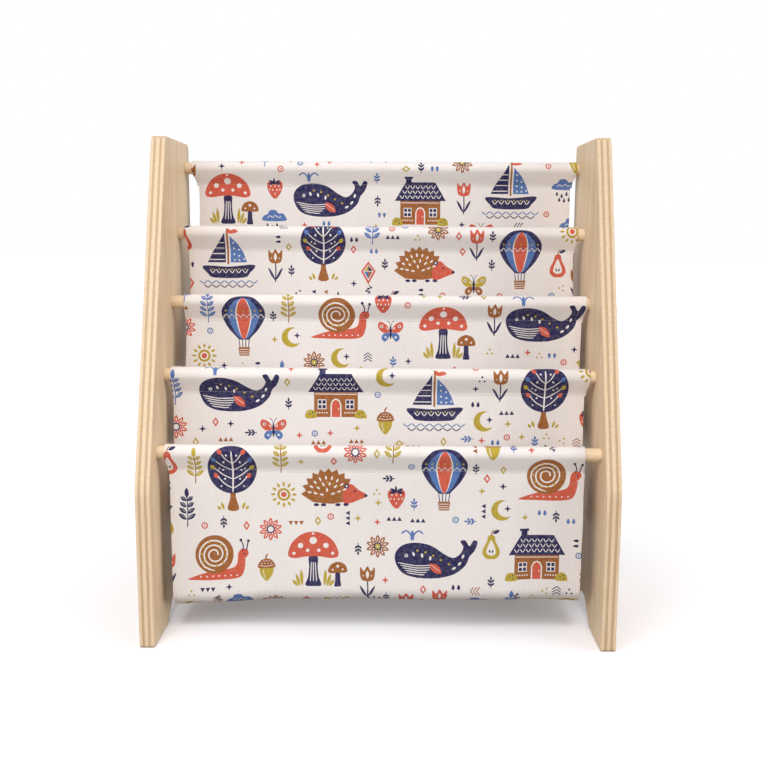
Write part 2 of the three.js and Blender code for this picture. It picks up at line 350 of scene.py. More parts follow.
for name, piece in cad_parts.items():
    if name.endswith("_panel"):
        give_finish(piece, plywood)
    elif name.startswith("screw"):
        give_finish(piece, steel)


# %% [markdown]
# The dowels are turned, so they are truly round. In the CAD model they have only a few sides, which
# would show as flats on the short lengths that stick out beside the cloth. A cone operator with equal
# radii gives the round, a bevel breaks its rims, and an inset that is pushed in makes the bore that
# the screw goes into. Each dowel takes its place and size from the solid that it stands for.

# %% Helper that turns a shape into an object
def make_object(name, shape, material):
    mesh = bpy.data.meshes.new(name)
    shape.to_mesh(mesh)
    shape.free()
    mesh.materials.append(material)
    made = bpy.data.objects.new(name, mesh)
    bpy.context.scene.collection.objects.link(made)
    return made


# %% Dowels
DOWELS = [f"rod_{number}" for number in range(1, 6)] + ["rear_stretcher"]
DOWEL_SIDES = 48
DOWEL_CHAMFER = 1 * MM
BORE_RADIUS = 2.6 * MM
BORE_DEPTH = 38 * MM


def bore(wood, face, radius):
    """A round hole into the end of a dowel that lies along z."""
    bmesh.ops.inset_individual(wood, faces=[face], thickness=radius - DOWEL_CHAMFER - BORE_RADIUS)
    bottom = bmesh.ops.extrude_discrete_faces(wood, faces=[face])["faces"][0]
    inward = math.copysign(BORE_DEPTH, -bottom.calc_center_median().z)
    bmesh.ops.translate(wood, verts=bottom.verts, vec=(0, 0, inward))


def make_dowel(node):
    low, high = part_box(node)
    radius = (high.z - low.z) / 2
    wood = bmesh.new()
    bmesh.ops.create_cone(wood, cap_ends=True, segments=DOWEL_SIDES, radius1=radius, radius2=radius,
                          depth=high.x - low.x)
    rims = [edge for edge in wood.edges if abs(edge.verts[0].co.z - edge.verts[1].co.z) < DOWEL_CHAMFER]
    bmesh.ops.bevel(wood, geom=rims, offset=DOWEL_CHAMFER, segments=2, profile=0.5, affect="EDGES",
                    material=-1)
    for face in [face for face in wood.faces if len(face.verts) == DOWEL_SIDES]:
        bore(wood, face, radius)
    for face in wood.faces:
        face.smooth = len(face.verts) == 4
    lying = Matrix.Rotation(math.radians(90), 3, "Y")
    bmesh.ops.rotate(wood, verts=wood.verts, cent=(0, 0, 0), matrix=lying)
    bmesh.ops.translate(wood, verts=wood.verts, vec=(low + high) / 2)
    dowel = make_object(f"dowel_{node}", wood, dowel_wood)
    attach(dowel, BODY)
    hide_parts(node)
    return dowel


dowels = {node: make_dowel(node) for node in DOWELS}
print("dowels", len(dowels), "each of", len(dowels["rod_1"].data.polygons), "faces")


# %% [markdown]
# The print is made of flat shapes, in millimetres, each with an ink, drawn in order so that later
# shapes lie on earlier ones. A shape is a closed list of points. Its curves come from a few helpers:
# ovals, smooth blobs through a handful of points, pointed leaves, and strokes of a given width.

# %% Helpers that draw shapes
LEAF_STEPS = 5  # the straight pieces of each side of a leaf


def turned(points, degrees):
    cos, sin = math.cos(math.radians(degrees)), math.sin(math.radians(degrees))
    return [(x * cos - y * sin, x * sin + y * cos) for x, y in points]


def at(radius, degrees, x=0, y=0):
    """The point at this distance from (x, y), in the direction that leans left of upright by degrees."""
    return x - radius * math.sin(math.radians(degrees)), y + radius * math.cos(math.radians(degrees))


def moved(shapes, x, y, size=1, turn=0):
    return [(ink, [(x + size * px, y + size * py) for px, py in turned(points, turn)])
            for ink, points in shapes]


def oval(x, y, wide, high=None):
    high = wide if high is None else high
    steps = max(8, round(6 + 0.7 * max(wide, high)))
    angles = [2 * math.pi * step / steps for step in range(steps)]
    return [(x + wide / 2 * math.cos(a), y + high / 2 * math.sin(a)) for a in angles]


def ovals(ink, wide, places):
    return [(ink, oval(x, y, wide)) for x, y in places]


def between(p0, p1, p2, p3, t):
    """A point on the smooth curve from p1 to p2, which its neighbours p0 and p3 bend."""
    return tuple(
        0.5 * (2 * b + (c - a) * t + (2 * a - 5 * b + 4 * c - d) * t**2 + (3 * b - a - 3 * c + d) * t**3)
        for a, b, c, d in zip(p0, p1, p2, p3)
    )


def smooth(points, steps):
    """Points on the smooth line from the second point up to, but without, the last but one."""
    line = []
    for near in zip(points, points[1:], points[2:], points[3:]):
        line += [between(*near, step / steps) for step in range(steps)]
    return line


def blob(points, steps=4):
    return smooth([points[-1], *points, *points[:2]], steps)


def mirrored(points):
    return points + [(-x, y) for x, y in reversed(points) if abs(x) > 0.01]


def leaf(x, y, length, wide, turn=0):
    side = [(wide / 2 * math.sin(math.pi * step / LEAF_STEPS) ** 0.8, length * step / LEAF_STEPS)
            for step in range(1, LEAF_STEPS)]
    lens = [(0, 0), *side, (0, length), *[(-px, py) for px, py in reversed(side)]]
    return [(x + px, y + py) for px, py in turned(lens, turn)]


def stroke(points, wide, steps=4, taper=0.55):
    """A line of this width through the points, its ends narrowed to the taper's share."""
    line = smooth([points[0], *points, points[-1]], steps) + [points[-1]]
    left, right = [], []
    for index, (x, y) in enumerate(line):
        (ax, ay), (bx, by) = line[max(index - 1, 0)], line[min(index + 1, len(line) - 1)]
        run = math.hypot(bx - ax, by - ay)
        half = wide / 2 * (taper if index in (0, len(line) - 1) else 1)
        left.append((x - half * (by - ay) / run, y + half * (bx - ax) / run))
        right.append((x + half * (by - ay) / run, y - half * (bx - ax) / run))
    return left + right[::-1]


# %% [markdown]
# The large motifs are about 60 mm across: things from a walk outdoors, drawn flat and decorated with
# rows of dots, leaves and scallops in the bare cloth. Each is a function that yields its shapes.

# %% Large motifs
def small_toadstool():
    yield NAVY, blob(mirrored([(0, 0), (2.2, 0), (2.6, -8), (3.4, -14), (0, -14.5)]), 3)
    yield RUST, blob(mirrored([(0, 11), (7, 8), (9.6, 1), (5, -0.6), (0, 0)]))
    yield BARE, oval(0, 6.5, 3)
    yield from ovals(BARE, 2, [(-5, 3), (5, 3)])


def toadstool():
    cap = [(0, 27), (11, 24.5), (20, 17), (24.5, 7), (24, 1.5), (18, 0), (8, 1.5), (0, 2)]
    yield NAVY, blob(mirrored([(0, 2), (4.6, 1), (4.2, -9), (5.4, -20), (8, -28), (0, -29)]), 3)
    yield CORAL, blob(mirrored(cap))
    yield BARE, oval(0, 18, 7.5)
    yield BARE, oval(0, 25, 2.4)
    for x, y, wide in ((12.5, 13, 5.5), (5.5, 8, 3.6), (19, 5, 3.4)):
        yield from ovals(BARE, wide, [(-x, y), (x, y)])
    for x in (-3.2, 0, 3.2):
        yield BARE, stroke([(x, -24), (x * 0.75, -14), (x * 0.6, -4)], 0.9)
    for x, long, turn in ((13, 14, 18), (15, 9, 40), (11, 18, 4)):
        yield MUSTARD, leaf(-x, -29, long, 3.4, turn)
        yield MUSTARD, leaf(x, -29, long, 3.4, -turn)
    yield from moved(small_toadstool(), 24, -15)


def rectangle(left, low, right, high):
    return [(left, low), (right, low), (right, high), (left, high)]


def cottage():
    yield NAVY, rectangle(-16, 8, -10, 24)
    yield NAVY, rectangle(-17.5, 24, -8.5, 26.5)
    yield RUST, rectangle(-22, -26, 22, 2)
    yield NAVY, [(-28, -0.5), (28, -0.5), (16, 20), (-16, 20)]
    for count, low, half in ((8, 3.6, 23), (7, 8.8, 20), (6, 14, 17)):
        for step in range(count):
            x = half * (2 * step + 1 - count) / count
            reach = half / count - 0.5
            yield BARE, stroke([(x - reach, low + 2), (x, low - 1.4), (x + reach, low + 2)], 0.8, 3)
    yield BARE, mirrored([(0, -7), (3.5, -8.5), (5.5, -13), (5.5, -26)])
    yield CORAL, mirrored([(0, -8.4), (2.6, -9.6), (4.2, -13), (4.2, -26)])
    yield BARE, oval(2.4, -17.5, 1.4)
    yield BARE, stroke([(-21, -2.6), (21, -2.6)], 0.8, 1, 1)
    for x in (-14, 14):
        yield BARE, rectangle(x - 4.4, -18, x + 4.4, -8)
        for px in (x - 2.05, x + 2.05):
            for py in (-15.4, -10.6):
                yield NAVY, rectangle(px - 1.55, py - 1.75, px + 1.55, py + 1.75)
        yield from ovals(BARE, 1.6, [(x + 2.5 * step, -21.6) for step in range(-2, 3)])
    for x in (-25, 25):
        bush = [(-5.5, -27), (-5, -21), (-1, -18.5), (3.6, -20), (5.5, -24), (5.2, -27)]
        yield MUSTARD, blob([(x + px, py) for px, py in bush], 3)
        yield from ovals(NAVY, 1.5, [(x - 1.5, -23), (x + 1.5, -21.5), (x + 2, -25)])


def round_tree():
    yield RUST, blob([(-3, 0), (3, 0), (2.6, -20), (5.6, -33), (-5.6, -33), (-2.6, -20)], 3)
    yield NAVY, oval(0, 8, 48, 50)
    yield BARE, stroke([(0, -16), (0.6, 4), (0, 27)], 1.5)
    for low, reach, ink in ((-9, 14, CORAL), (0, 17, MUSTARD), (9, 15.5, BLUE), (17, 9.5, CORAL)):
        for side in (-1, 1):
            x = side * reach
            yield BARE, stroke([(0.5, low - 3), (x * 0.55, low + 1.6), (x, low + 8)], 1.0, 3)
            yield ink, leaf(x, low + 7, 6.4, 4.4, -side * 38)
            yield BARE, oval(x * 0.52, low + 6.4, 2)
            yield BARE, oval(x * 0.8, low - 0.8, 1.7)
    for side in (-1, 1):
        for x, long, turn in ((9, 8, 20), (12, 5, 45)):
            yield MUSTARD, leaf(side * x, -33, long, 2.8, -side * turn)


def snail():
    body = [(-31, -20), (-20, -21), (0, -21.5), (16, -21), (23, -18), (26, -10), (27, -1), (30, 3),
            (28.5, 8), (23, 8.5), (19.5, 4), (18.5, -5), (14, -10), (0, -12), (-14, -14), (-24, -17)]
    spiral = [at(16.2 - 14 * step / 26, 180 - 42 * step, -4, 4) for step in range(25)]
    yield CORAL, blob(body, 3)
    yield RUST, oval(-4, 4, 38)
    yield BARE, stroke(spiral, 1.5, 2, 0.4)
    for turn in range(20, 360, 34):
        yield MUSTARD, oval(*at(13.1 - 0.0065 * turn, turn, -4, 4), 2.2)
    for foot, tip in (((24, 7), (22.4, 17.6)), ((28, 7), (30, 16.6))):
        yield NAVY, stroke([foot, (foot[0] + 0.8, foot[1] + 5), tip], 1.2, 3, 1)
        yield NAVY, oval(*tip, 3)
    yield NAVY, oval(25.8, 3.6, 1.9)
    yield BARE, stroke([(26, -0.6), (27.6, -1.5), (29, -0.2)], 0.8, 3)
    yield from ovals(BARE, 1.7, [(x, -17.6) for x in range(-18, 19, 6)])


def balloon():
    envelope = [(0, 32), (12, 29.5), (21, 20), (22, 9), (16, -3), (8, -12), (5, -15), (0, -15)]
    yield NAVY, blob(mirrored(envelope))
    for half, ink in ((16.4, BLUE), (8.4, BARE), (7, CORAL)):
        gore = [(0, 29.5), (half * 0.62, 25.4), (half, 14), (half * 0.84, 2), (half * 0.3, -12.6)]
        yield ink, blob(mirrored(gore), 3)
    zigzag = [(x, 12.4 if index % 2 else 8.4) for index, x in enumerate(range(-21, 22, 3))]
    yield BARE, stroke(zigzag, 1.2, 1, 1)
    yield from ovals(MUSTARD, 2.2, [(x, 16.4) for x in range(-18, 19, 6)])
    for x in (-5.4, -1.8, 1.8, 5.4):
        yield NAVY, stroke([(x, -15), (x * 0.8, -23)], 0.9, 1, 1)
    yield RUST, [(-6, -23), (6, -23), (5, -32), (-5, -32)]
    for y in (-25.5, -28, -30.2):
        yield BARE, stroke([(-4.8, y), (4.8, y)], 0.7, 1, 1)


def sailboat():
    yield RUST, rectangle(-1, -8, 1, 31)
    yield CORAL, blob([(1, 31), (4, 29), (8, 30.4), (12, 27.5), (5, 25.5), (1, 26.5)], 2)
    yield BLUE, [(2.6, 23.5), (11, 14), (17, 3), (20, -6), (2.6, -6)]
    yield NAVY, [(-2.6, 27), (-10, 15), (-17, 4), (-22, -6), (-2.6, -6)]
    yield NAVY, blob([(-27, -9.5), (0, -10.5), (28, -8.5), (23, -17), (16, -22), (-15, -22), (-22, -18)])
    for step in range(4):
        low = 6.2 * step - 3
        yield BARE, stroke([(3.3 * step - 20, low), (-3.6, low)], 1.0, 1, 1)
    spots = ((6, 15.5), (6.4, 9), (11.5, 7.5), (6.6, 2.5), (12, 1), (17, -2.5), (7, -3.4), (12, -3.6))
    yield from ovals(BARE, 2, spots)
    for x in range(-17, 19, 7):
        yield BARE, stroke([(x - 3, -13), (x, -17), (x + 3, -13)], 0.9, 3)
        yield MUSTARD, oval(x, -13, 1.8)
    for first, count, low, ink in ((-27, 7, -25, BLUE), (-22.5, 6, -29.2, NAVY)):
        for x in (first + 9 * step for step in range(count)):
            yield ink, stroke([(x - 4.2, low), (x, low - 3), (x + 4.2, low)], 1.1, 3, 0.8)


def whale():
    body = [(-36, -2), (-35, 8), (-27, 15), (-14, 17), (0, 14), (12, 6), (21, 2), (28, 6), (31, 13),
            (28, 19), (33, 20), (37, 14), (41, 20), (45, 18), (42, 9), (37, 3), (34, -5), (24, -14),
            (8, -19), (-14, -19), (-29, -14)]
    yield NAVY, blob(body, 3)
    for step in range(5):
        groove = [(2.2 * step - 33, -3.6 - 2.6 * step), (step - 16, -6.5 - 2.3 * step),
                  (3 - 2.5 * step, -5.6 - 2.5 * step)]
        yield BARE, stroke(groove, 0.9)
    yield BARE, oval(-25, 3.6, 3.6)
    yield NAVY, oval(-25, 3.6, 1.7)
    yield CORAL, leaf(-2, -4, 16, 8, -132)
    yield BARE, stroke([(-0.6, -5.6), (8, -12)], 0.8, 1)
    yield from ovals(MUSTARD, 2.4, [(-14, 9), (-6, 7.4), (1.6, 4), (9, -0.5), (17, -4.6)])
    marks = ((-17, 3, 20), (-9, 1.6, 10), (-1.5, -1.2, -5), (26, -6, -40), (30, 1, -20), (20, -10, -60))
    for x, y, turn in marks:
        yield BARE, leaf(x, y, 5, 2.4, turn)
    for side in (-1, 1):
        spout = [(0.8, 19), (1.6, 25), (6.2, 29), (10.7, 26)]
        yield BLUE, stroke([(side * x - 19.2, y) for x, y in spout], 1.6)
    yield BLUE, leaf(-19.2, 21, 9, 3)


def hedgehog():
    spines = [at(27 if step % 2 else 22.5, 98 - 196 * step / 22, -3, -8) for step in range(23)]
    face = [(12, -17), (18, -17), (27, -13.4), (34, -10.4), (33.4, -7.4), (26, -3), (20, 2.4), (14, 1),
            (11, -8)]
    yield RUST, [*spines, (16, -15), (0, -17.5), (-18, -16)]
    yield CORAL, blob(face, 3)
    yield NAVY, oval(33.4, -9.2, 3.4)
    yield NAVY, oval(22.6, -4.6, 2.2)
    yield NAVY, oval(14.6, 0.4, 5)
    yield BARE, oval(14.6, 0.4, 2.2)
    for x in (-15, -8, 6, 14):
        yield NAVY, oval(x, -18.4, 5.4, 3.2)
    for radius, count in ((15.6, 9), (9.6, 6), (3.4, 3)):
        for turn in (80 - 150 * step / (count - 1) for step in range(count)):
            yield BARE, leaf(*at(radius, turn, -4, -9), 4.6, 1.9, turn)
    yield from ovals(MUSTARD, 1.6, [at(13.6, 72 - 24 * step, -4, -9) for step in range(7)])


LARGE = [toadstool, whale, cottage, sailboat, round_tree, hedgehog, balloon, snail]
print("large motifs", len(LARGE), "with", sum(len(list(motif())) for motif in LARGE), "shapes")


# %% [markdown]
# The medium motifs are about 30 mm high. Some take their inks as arguments, so that one drawing is
# printed in several colours, as a textile designer does to spread the palette over the cloth.

# %% Medium motifs
def tulip(bloom):
    cup = [(0, 2), (6.5, 4), (8.4, 11), (8, 19), (4, 14), (0, 20), (-4, 14), (-8, 19), (-8.4, 11), (-6.5, 4)]
    yield NAVY, stroke([(0, -20), (0.5, -8), (0, 4)], 1.5, 3, 1)
    yield bloom, blob(cup, 3)
    yield BARE, leaf(0, 5, 10, 3.6)
    for side in (-1, 1):
        yield NAVY, blob([(0, -18), (side * 5, -13), (side * 9, -3), (side * 4.2, -8)], 3)
        yield BARE, oval(side * 4.8, 8.6, 1.5)


def pear(skin):
    yield skin, blob(mirrored([(0, 13), (3.6, 11.4), (5, 5), (9, -3), (9.6, -10), (5, -15), (0, -15.4)]), 3)
    yield RUST, stroke([(0, 12), (0.6, 16), (2.4, 19)], 1.3, 3, 1)
    yield NAVY, leaf(1.4, 14.5, 9, 4.2, -62)
    yield BARE, blob(mirrored([(0, 7), (2, 4), (5, -4), (5, -9), (0, -11.4)]), 3)
    yield NAVY, leaf(-1.2, -8.4, 4.2, 1.9, 14)
    yield NAVY, leaf(1.2, -8.4, 4.2, 1.9, -14)


def acorn():
    yield MUSTARD, blob(mirrored([(0, 1), (7.6, 1), (7, -7), (3.4, -13), (0, -16)]), 3)
    yield RUST, blob(mirrored([(0, 10.6), (6, 9), (9.8, 3.6), (9, 0), (0, -0.6)]), 3)
    yield RUST, stroke([(0, 10), (-0.5, 13), (1.5, 16)], 1.7, 3, 1)
    yield BARE, stroke([(-8.4, 3), (0, 1.6), (8.4, 3)], 0.7, 3)
    yield BARE, stroke([(-3.6, -2), (-3.4, -7), (-1.4, -12)], 0.8, 3)
    scales = ((-5.4, 5), (-1.8, 5.2), (1.8, 5.2), (5.4, 5), (-3, 7.8), (0, 8.2), (3, 7.8))
    yield from ovals(BARE, 1.3, scales)


def sun():
    for ink, wide in ((MUSTARD, 15), (BARE, 9.6), (CORAL, 6.4)):
        yield ink, oval(0, 0, wide)
    for turn in range(0, 360, 30):
        yield MUSTARD, leaf(*at(9, turn), 6, 3, turn)
    yield from ovals(RUST, 1.1, [at(6.2, turn) for turn in range(15, 360, 30)])


def cloud():
    puff = [(-14, -2), (-14, 4), (-9, 6.4), (-6, 11), (1, 11.4), (5, 7.4), (10, 7.4), (14, 3), (13, -2)]
    yield BLUE, blob(puff)
    yield BARE, stroke([(-9, 1.6), (-6, 4.4), (-2.6, 2), (0.8, 5), (4.4, 2), (8, 3.6)], 0.9, 3)
    for x, y in ((-9, -8), (-3, -10.5), (3, -8), (9, -10.5), (0, -16), (-6, -15), (6, -15)):
        yield NAVY, blob([(x, y + 3.4), (x + 1.5, y - 0.4), (x, y - 2), (x - 1.5, y - 0.4)], 3)


def star(ink):
    yield ink, [at(1.5 if step % 2 else 4.2, 45 * step) for step in range(8)]


def moon():
    outer = [at(12, turn) for turn in range(-22, 241, 17)]
    inner = [at(9.4, turn, 4.6, 1.6) for turn in range(212, 6, -17)]
    yield MUSTARD, outer + inner
    yield from ovals(RUST, 1.2, [at(9.3, turn, -0.4, 0) for turn in range(36, 150, 22)])
    yield from moved(star(NAVY), 6.5, 2)


def strawberry():
    yield CORAL, blob(mirrored([(0, 6.6), (7, 8), (10, 3), (7.6, -6), (2.6, -13), (0, -14)]), 3)
    for turn in (-100, -62, 62, 100):
        yield NAVY, leaf(0, 5.5, 8.4, 3.4, turn)
    yield NAVY, leaf(0, 4, 9, 2.6, 6)
    seeds = ((-5, 0.4), (0, 0.6), (5, 0.4), (-2.6, -4.4), (2.6, -4.4), (0, -9.4), (-6.4, -4), (6.4, -4))
    for x, y in seeds:
        yield BARE, leaf(x, y, 2.7, 1.5)


def sprig(leaves, stem):
    yield stem, stroke([(0, -22), (0.8, -4), (0, 12)], 1.2, 3, 1)
    yield leaves, leaf(0, 10, 12, 5)
    for step, y in enumerate((-14, -7, 0, 7)):
        for side in (-1, 1):
            yield leaves, leaf(side * 0.6, y, 11.5 - 1.1 * step, 4.6, -side * 52)
            yield BARE, stroke([(side * 2.4, y + 2), (side * 6.4, y + 5.2)], 0.6, 1)


def daisy(petals, heart):
    for turn in range(0, 360, 36):
        yield petals, leaf(*at(4, turn), 9.6, 5, turn)
        yield BARE, leaf(*at(6.4, turn), 4.6, 1.5, turn)
    for ink, wide in ((NAVY, 9.6), (heart, 6.6), (BARE, 2)):
        yield ink, oval(0, 0, wide)


def kite():
    yield CORAL, [(0, 16), (9, 4), (0, -12), (-9, 4)]
    yield BARE, [(0, 12.4), (6.4, 4), (0, -7.6), (-6.4, 4)]
    yield NAVY, [(0, 11), (5.4, 4.4), (0, 4.4)]
    yield BLUE, [(0, 3.6), (0, -5.6), (-5.2, 3.6)]
    yield MUSTARD, [(-5.4, 4.4), (0, 4.4), (0, 11)]
    yield RUST, [(0, 3.6), (5.2, 3.6), (0, -5.6)]
    yield NAVY, stroke([(0, -12), (2.4, -16), (-1, -20), (1.6, -24)], 0.9, 4)
    bow = [(NAVY, [(0, 0), (3, 1.8), (3, -1.8)]), (NAVY, [(0, 0), (-3, -1.8), (-3, 1.8)])]
    yield from moved(bow, 1.6, -16.6, 1, 20)
    yield from moved(bow, -0.4, -20.6, 1, -20)


def butterfly(upper, lower):
    wings = ((upper, [(1, 1), (5, 9), (13, 12.4), (15, 6), (9, -0.5)]),
             (lower, [(1, -1), (8, -1.6), (11, -7), (7, -11.4), (2.6, -7)]))
    for side in (-1, 1):
        for ink, outline in wings:
            yield ink, blob([(side * x, y) for x, y in outline])
        yield BARE, oval(side * 10.6, 7, 4)
        yield NAVY, oval(side * 10.6, 7, 2)
        yield BARE, oval(side * 6, -6, 2.8)
        yield BARE, leaf(side * 2.4, 2.6, 5, 1.4, -side * 40)
        yield NAVY, stroke([(side * 0.5, 8), (side * 2, 12), (side * 4.6, 14)], 0.7, 3)
    yield NAVY, oval(0, 0, 2.8, 17)


MEDIUM = [list(motif) for motif in (
    tulip(CORAL), sprig(NAVY, NAVY), pear(MUSTARD), daisy(RUST, MUSTARD), cloud(), strawberry(), sun(),
    butterfly(CORAL, BLUE), acorn(), sprig(BLUE, BLUE), moon(), kite(), tulip(RUST), daisy(CORAL, BARE),
    sprig(MUSTARD, RUST), pear(CORAL), butterfly(MUSTARD, RUST),
)]
print("medium motifs", len(MEDIUM))


# %% [markdown]
# The small motifs fill what is left between the others: dots, drops, chevrons, twigs and diamonds.

# %% Small motifs
def dots(ink):
    yield from ovals(ink, 2.4, [(0, 2.6), (-2.8, -2), (2.8, -2)])


def diamond(ink):
    for tone, high, wide in ((ink, 5.4, 3.6), (BARE, 2.6, 1.7)):
        yield tone, [(0, high), (wide, 0), (0, -high), (-wide, 0)]


def drops(ink):
    for x in (-3, 3):
        yield ink, blob([(x, 3.6), (x + 1.8, -0.8), (x, -2.8), (x - 1.8, -0.8)], 3)


def chevrons(ink):
    for y in (-3, 0.4, 3.8):
        yield ink, stroke([(-4.6, y - 1.6), (0, y + 1.8), (4.6, y - 1.6)], 1.2, 1, 1)


def twig(ink):
    yield ink, stroke([(0, -6), (0, 5)], 0.9, 1, 1)
    yield ink, leaf(0, 2.6, 5.4, 2.3)
    for y in (-3.4, 0.4):
        for turn in (-45, 45):
            yield ink, leaf(0, y, 5.4, 2.3, turn)


def hoop(ink):
    for tone, wide in ((ink, 7.4), (BARE, 4.6), (ink, 2)):
        yield tone, oval(0, 0, wide)


def triangles(ink):
    for x in (-5.8, 0, 5.8):
        yield ink, [(x - 2.6, -2), (x + 2.6, -2), (x, 2.8)]


SMALL = [list(motif) for motif in (
    star(NAVY), dots(NAVY), diamond(MUSTARD), twig(NAVY), drops(BLUE), chevrons(NAVY), hoop(CORAL),
    triangles(RUST), star(CORAL), dots(MUSTARD), twig(BLUE), hoop(BLUE), diamond(CORAL), drops(NAVY),
    chevrons(RUST), twig(NAVY), star(MUSTARD), triangles(NAVY),
)]
print("small motifs", len(SMALL))


# %% [markdown]
# Now the shape of the sling. It hangs in a vertical section that is the same all the way across, so a
# point of the cloth is found from two numbers: how far across the shelf it lies, and how far along
# the cloth. Everything starts from the rods, whose places come from the frame.

# %% Measures of the sling
def middle_of(node):
    low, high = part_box(node)
    return (low + high) / 2


RODS = [middle_of(f"rod_{number}") for number in range(1, 6)]
ROD_RADIUS = (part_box("rod_1")[1].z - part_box("rod_1")[0].z) / 2
SEAM_DROP = RODS[0].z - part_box("sleeve_1")[0].z
CLOTH = 1.0 * MM
HEM_CLOTH = 1.6 * MM
LAYER = 0.62 * MM  # from the middle of a seam to the middle of each of its two layers
TAIL = 3 * MM  # of the layers sewn flat together, below the seam's stitches
EASE = 0.35 * MM  # of a sleeve round its rod, at the least
LOOP_RADIUS = ROD_RADIUS + EASE + CLOTH / 2
TURN_RADIUS = 19 * MM
POCKET_DROPS = [180 * MM, 180 * MM, 180 * MM, 189.2 * MM]  # of each bottom, below its front rod
CORNER_SAG = 7.5 * MM  # of the front pocket's bottom, at its left corner
SAG_ENDS = (-215 * MM, -120 * MM)  # across the shelf, where it is whole and where it has faded out
BOTTOM_WANDER = 1.1 * MM
FOLD_TILTS = [3 * MM, -3.6 * MM, 2.4 * MM, -0.5 * MM]  # how much higher each bottom is at the left
HEM = 11 * MM

# The ends of the cloth at each rod, left and right of the shelf's middle, on the sleeve and below it
SLEEVE_ENDS = [(-257.3, 263.2), (-259.2, 257.6), (-250.9, 263.4), (-259, 260.3), (-257.2, 247.3)]
WALL_ENDS = [(-248.6, 255.9), (-254.4, 254.1), (-249.7, 257.7), (-257.7, 255), (-253, 248.5)]
SLIPS = [middle_of(f"sleeve_{number}").x for number in range(1, 6)]
SEAM_STEP = 0.3  # what is left at the seam of a sleeve's reach past the wall
RIM = 0.6  # mm from a cut edge to the next row of corners, so that only the edge itself looks round

loop_join = Vector((LAYER, TAIL - SEAM_DROP))
LOOP_TANGENT = math.sqrt(loop_join.length_squared - LOOP_RADIUS**2)
LOOP_WRAP = math.pi - math.atan2(loop_join.x, -loop_join.y) - math.acos(LOOP_RADIUS / loop_join.length)
HALF_LOOP = TAIL + LOOP_TANGENT + LOOP_RADIUS * LOOP_WRAP
TURN_RUN = math.pi * TURN_RADIUS
print("rods", len(RODS), "loop of cloth", round(2 * HALF_LOOP / MM, 1), "mm")


# %% [markdown]
# Loose cloth is never quite flat. Small puckers start at each seam, where the thread gathers the two
# layers, and die out below it. Long soft waves hang down the walls. Both are a push forwards or back
# that depends only on the seam that the cloth hangs from, so the two layers of one seam move
# together and never cut through each other.

# %% Waves and puckers
CLOTH_WIDTH = 506 * MM
SLACK_WAVE = 1.6 * MM
WAVE_COUNT = 2.5
WAVE_RUN = 90 * MM
PUCKER = 1.1 * MM
PUCKER_RUN = 9 * MM
PUCKER_FADE = 17 * MM
BROAD_WAVE = 2.2 * MM
STREAK = 0.9 * MM
HEM_WANDER = 0.9 * MM


def rise(value, start, end):
    share = min(max((value - start) / (end - start), 0), 1)
    return share * share * (3 - 2 * share)


def folds(x, along, wide, long, seed):
    """Uneven folds about this wide and long in mm, from -1 to 1. Another seed gives other folds."""
    return noise.noise(Vector((x / (wide * MM), along / (long * MM), seed)))


def push(seam, x, below):
    """How far the cloth that hangs from this seam stands back, at x across and this far below it."""
    across = x / CLOTH_WIDTH + 0.5
    slack = SLACK_WAVE * rise(below, 0, WAVE_RUN) * math.sin(2 * math.pi * WAVE_COUNT * across)
    near = rise(below, 0, PUCKER_RUN) * math.exp(-below / PUCKER_FADE)
    pucker = PUCKER * near * folds(x, below, 8.5, 60, 7.3 * seam)
    broad = BROAD_WAVE * rise(below, 0, 60 * MM) * folds(x, below, 120, 130, 3.1 * seam + 5)
    streak = STREAK * rise(below, 0, 30 * MM) * folds(x, below, 23, 300, 5.7 * seam + 11)
    return slack + pucker + broad + streak


def edge_shift(x, along, seed):
    """A hem's own slow wander, which fades towards the middle of the cloth."""
    share = (2 * abs(x) / CLOTH_WIDTH) ** 8
    return HEM_WANDER * share * noise.noise(Vector((along / (45 * MM), seed, math.copysign(3, x))))


# %% The sleeve's section
def sleeve_point(number, x, along):
    """A point of a sleeve, from its front seam over the rod to its rear seam."""
    side = -1 if along < HALF_LOOP else 1
    slide = TAIL + LOOP_TANGENT - min(along, 2 * HALF_LOOP - along)
    reach = LOOP_RADIUS + EASE * (1 + folds(x, along, 16, 20, 9.1 * number))
    angle = LOOP_WRAP + min(slide, 0) / LOOP_RADIUS
    y, z = reach * math.sin(angle), reach * math.cos(angle)
    if slide > LOOP_TANGENT:
        y, z = loop_join.x, loop_join.y - (slide - LOOP_TANGENT)
    elif slide > 0:
        share = slide / LOOP_TANGENT
        y, z = (1 - share) * y + share * loop_join.x, (1 - share) * z + share * loop_join.y
    rod = RODS[number]
    return Vector((x + SLIPS[number], rod.y + side * y, rod.z + z))


# %% The pocket's section
FRONT_POCKET = len(RODS) - 2
FRONT_EASE = 60 * MM  # below its seam, where the front wall has come back under its sleeve


def pocket_runs(number):
    """The lengths of a pocket's front wall, turn and rear wall, at the middle of the shelf."""
    front = POCKET_DROPS[number] - SEAM_DROP - TURN_RADIUS
    rear = RODS[number].z - RODS[number + 1].z + front
    return front, TURN_RUN, rear


